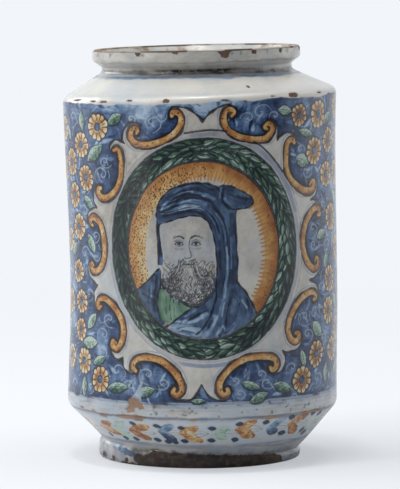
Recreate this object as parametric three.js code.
// Albarello: a tall tin-glazed drug jar with a turned foot, a waisted wall, a sloping shoulder and a
// short flared neck. It is thrown from one lump of clay, turned, and coated with glaze outside and inside.
// Millimetres, +Z up. The origin is on the table, under the middle of the foot; -Y is the painted front.
import * as THREE from "three";

// Heights, each counted from the feature below it.
const footHeight = 10;
const chamferRise = 27.5;
const wallRise = 211.3;
const shoulderRise = 15.2;
const neckRise = 9;
const neckBandRise = 4.5;
const lipRise = 7;

// Radii of the clay, before glazing.
const footRadius = 68.4;
const bellyRadius = 91.8;
const shoulderRadius = 92.6;
const neckRadius = 64;
const lipRadius = 70.2;
const waistDepth = 1.4;

// Thicknesses and hollows.
const wallThickness = 6;
const neckThickness = 6.5;
const floorThickness = 8;
const footRingWidth = 11;
const recessDepth = 4;
const lipLandWidth = 4;
const footGrooveDepth = 1.8;
const heelThickness = 8.5;

// Roundings, each the length that a corner loses on both of its sides.
const footRounding = 2.4;
const bellyRounding = 4;
const shoulderRounding = 3.4;
const neckRounding = 2.6;
const lipRounding = 1.3;
const hollowRounding = 12;

// The ridges that the potter's fingers leave inside the wall.
const throwingRings = 5;
const throwingRingDepth = 0.9;

// The two glaze coats, and the gap that keeps each one clear of the clay.
const outerGlaze = 0.5;
const innerGlaze = 0.45;
const glazeGap = 0.3;
const bareFootEdge = 3.2;
const bareRimEdge = 1.6;

// The lean and sway of a jar that was thrown by hand: how much a level ring tips towards +X, and how
// far its middle lies from the axis.
const grooveLean = -0.049;
const shoulderLean = 0.037;
const neckLean = 0.025;
const bellySway = 2;
const waistSway = 3;
const neckSway = -1.9;
const rimSway = -2.3;

// Facets.
const turnSteps = 44;
const filletSteps = 2;
const wallSteps = 5;

// Levels, from the table up.
const bellyLevel = footHeight + chamferRise;
const shoulderLevel = bellyLevel + wallRise;
const neckLevel = shoulderLevel + shoulderRise;
const lipLevel = neckLevel + neckRise;
const rimLevel = lipLevel + lipRise;
const floorLevel = recessDepth + floorThickness;
const grooveRadius = footRadius - footGrooveDepth;
const waistLevel = bellyLevel + wallRise / 3;

const corner = (radius, height, rounding = 0) => ({ at: new THREE.Vector2(radius, height), rounding });

// A profile through corners: straight runs, with a quadratic fillet at each rounded corner.
function filletedProfile(corners) {
  const path = new THREE.Path();
  path.moveTo(corners[0].at.x, corners[0].at.y);
  for (let i = 1; i < corners.length - 1; i += 1) {
    const { at, rounding } = corners[i];
    const towards = (next) => at.clone().add(next.clone().sub(at).setLength(rounding));
    if (rounding > 0) {
      const before = towards(corners[i - 1].at);
      const after = towards(corners[i + 1].at);
      path.lineTo(before.x, before.y);
      path.quadraticCurveTo(at.x, at.y, after.x, after.y);
    } else {
      path.lineTo(at.x, at.y);
    }
  }
  const last = corners[corners.length - 1].at;
  path.lineTo(last.x, last.y);
  return path.getPoints(filletSteps);
}

// How far the wall draws in at a share of its height: nothing at its ends, all of it in the middle.
const waistAt = (share) => waistDepth * 4 * share * (1 - share);

// The wall's outside between its two edges, waisted.
function outerWall() {
  const corners = [];
  for (let i = 1; i < wallSteps; i += 1) {
    const share = i / wallSteps;
    const radius = THREE.MathUtils.lerp(bellyRadius, shoulderRadius, share) - waistAt(share);
    corners.push(corner(radius, bellyLevel + share * wallRise));
  }
  return corners;
}

// The wall's inside from the top down, with one ridge for each throwing ring.
function innerWall(topLevel, bottomLevel) {
  const corners = [];
  const steps = 2 * throwingRings;
  for (let i = 1; i < steps; i += 1) {
    const level = THREE.MathUtils.lerp(topLevel, bottomLevel, i / steps);
    const share = (level - bellyLevel) / wallRise;
    const outside = THREE.MathUtils.lerp(bellyRadius, shoulderRadius, share) - waistAt(share);
    const ridge = i % 2 ? throwingRingDepth : 0;
    corners.push(corner(outside - wallThickness - ridge, level));
  }
  return corners;
}

// The outside of the clay, from the edge of the foot up to the outer edge of the lip.
function outsideProfile() {
  return filletedProfile([
    corner(footRadius - footRounding, 0),
    corner(footRadius, 0, footRounding),
    corner(footRadius, footHeight - footRounding, footRounding / 2),
    corner(grooveRadius, footHeight, footRounding / 3),
    corner(bellyRadius, bellyLevel, bellyRounding),
    ...outerWall(),
    corner(shoulderRadius, shoulderLevel, shoulderRounding),
    corner(neckRadius, neckLevel, neckRounding),
    corner(neckRadius, neckLevel + neckBandRise, neckRounding / 2),
    corner(lipRadius, lipLevel, lipRounding),
    corner(lipRadius, rimLevel, lipRounding),
    corner(lipRadius - lipRounding, rimLevel),
  ]);
}

// The inside of the clay, from the inner edge of the lip down to the middle of the floor.
function insideProfile() {
  const throatRadius = neckRadius - neckThickness;
  const mouthRadius = lipRadius - lipRounding - lipLandWidth;
  const shoulderInside = shoulderLevel - wallThickness / 2;
  const bellyInside = bellyLevel + wallThickness / 2;
  return filletedProfile([
    corner(mouthRadius, rimLevel),
    corner(throatRadius, lipLevel - lipRounding, lipRounding),
    corner(throatRadius, neckLevel - wallThickness / 2, neckRounding),
    corner(shoulderRadius - wallThickness, shoulderInside - shoulderRounding, shoulderRounding),
    ...innerWall(shoulderInside - 2 * shoulderRounding, bellyInside),
    corner(bellyRadius - wallThickness, bellyInside, bellyRounding),
    corner(grooveRadius - heelThickness, floorLevel, hollowRounding),
    corner(0, floorLevel),
  ]);
}

// The underside, from its middle out to the standing ring.
function undersideProfile() {
  const recessRadius = footRadius - footRingWidth;
  return filletedProfile([
    corner(0, recessDepth),
    corner(recessRadius - recessDepth / 2, recessDepth, recessDepth / 4),
    corner(recessRadius, 0),
    corner(footRadius - footRounding, 0),
  ]);
}

// A profile moved sideways by a distance, to the right of the way it runs. Each point keeps its lean.
function offsetProfile(points, distance) {
  return points.map((point, i) => {
    const before = points[Math.max(i - 1, 0)];
    const after = points[Math.min(i + 1, points.length - 1)];
    const inDirection = point.clone().sub(before);
    const outDirection = after.clone().sub(point);
    if (i === 0) inDirection.copy(outDirection);
    if (i === points.length - 1) outDirection.copy(inDirection);
    const along = inDirection.normalize().add(outDirection.normalize());
    const stretch = 2 / along.length();
    along.normalize();
    const moved = new THREE.Vector2(along.y, -along.x).multiplyScalar(distance * stretch).add(point);
    return Object.assign(moved, { lean: point.lean });
  });
}

// A smooth run through stations of [level, value], level at each end.
function throughStations(stations, level) {
  const next = stations.findIndex((station) => station[0] >= level);
  if (next === 0) return stations[0][1];
  if (next < 0) return stations[stations.length - 1][1];
  const [fromLevel, fromValue] = stations[next - 1];
  const [toLevel, toValue] = stations[next];
  const share = THREE.MathUtils.smoothstep(level, fromLevel, toLevel);
  return THREE.MathUtils.lerp(fromValue, toValue, share);
}

const insideLean = [
  [bellyLevel, 0],
  [shoulderLevel, shoulderLean],
  [neckLevel, neckLean],
];

// The foot was turned unevenly, so its groove tips on the outside alone.
const outsideLean = [[0, 0], [footHeight, grooveLean], ...insideLean];

const swayStations = [
  [0, 0],
  [bellyLevel, bellySway],
  [waistLevel, waistSway],
  [shoulderLevel, 0],
  [neckLevel, neckSway],
  [rimLevel, rimSway],
];

const leaning = (points, stations) =>
  points.map((point) => Object.assign(point, { lean: throughStations(stations, point.y) }));

// Turns a profile round the jar's axis, then gives it the lean and sway of the throwing.
function thrown(profile) {
  const geometry = new THREE.LatheGeometry(profile, turnSteps).rotateX(Math.PI / 2);
  const position = geometry.getAttribute("position");
  for (let i = 0; i < position.count; i += 1) {
    const x = position.getX(i);
    const level = position.getZ(i);
    position.setX(i, x + throughStations(swayStations, level));
    position.setZ(i, level + x * profile[i % profile.length].lean);
  }
  geometry.computeVertexNormals();
  return geometry;
}

// The part of a profile that lies between two levels, cut where it crosses them.
function betweenLevels(points, lowest, highest) {
  const kept = [];
  points.forEach((point, i) => {
    const before = points[i - 1];
    for (const level of before ? [lowest, highest] : []) {
      const crosses = (before.y - level) * (point.y - level) < 0;
      if (crosses) kept.push(before.clone().lerp(point, (level - before.y) / (point.y - before.y)));
    }
    if (point.y >= lowest && point.y <= highest) kept.push(point);
  });
  return kept;
}

const clayMaterial = new THREE.MeshStandardMaterial({ color: 0xb98e68, roughness: 0.85, metalness: 0 });
const outerMaterial = new THREE.MeshStandardMaterial({ color: 0x8797ac, roughness: 0.2, metalness: 0 });
const innerMaterial = new THREE.MeshStandardMaterial({ color: 0xd9dcd6, roughness: 0.2, metalness: 0 });

function clayBody() {
  const profile = [
    ...leaning(undersideProfile(), [[0, 0]]),
    ...leaning(outsideProfile().slice(1), outsideLean),
    ...leaning(insideProfile(), insideLean),
  ];
  return new THREE.Mesh(thrown(profile), clayMaterial);
}

// The near and the far side of a glaze coat that covers the clay's profile up from a level.
function coatSides(profile, lowest, stations, thickness) {
  const clay = leaning(betweenLevels(profile, lowest, rimLevel - bareRimEdge), stations);
  return [offsetProfile(clay, glazeGap), offsetProfile(clay, glazeGap + thickness)];
}

// The outside coat runs from the bare edge of the foot to the worn edge of the rim.
function outerCoat() {
  const [near, far] = coatSides(outsideProfile(), bareFootEdge, outsideLean, outerGlaze);
  return new THREE.Mesh(thrown([...far, ...near.reverse(), far[0]]), outerMaterial);
}

// The inside coat reaches the axis, so its profile is closed there and not at a rim.
function innerCoat() {
  const [near, far] = coatSides(insideProfile(), floorLevel, insideLean, innerGlaze);
  return new THREE.Mesh(thrown([...near.reverse(), ...far]), innerMaterial);
}

const jar = new THREE.Group();
for (const [name, mesh] of [
  ["clay_body", clayBody()],
  ["outer_glaze", outerCoat()],
  ["inner_glaze", innerCoat()],
]) {
  mesh.name = name;
  jar.add(mesh);
}

export default jar;
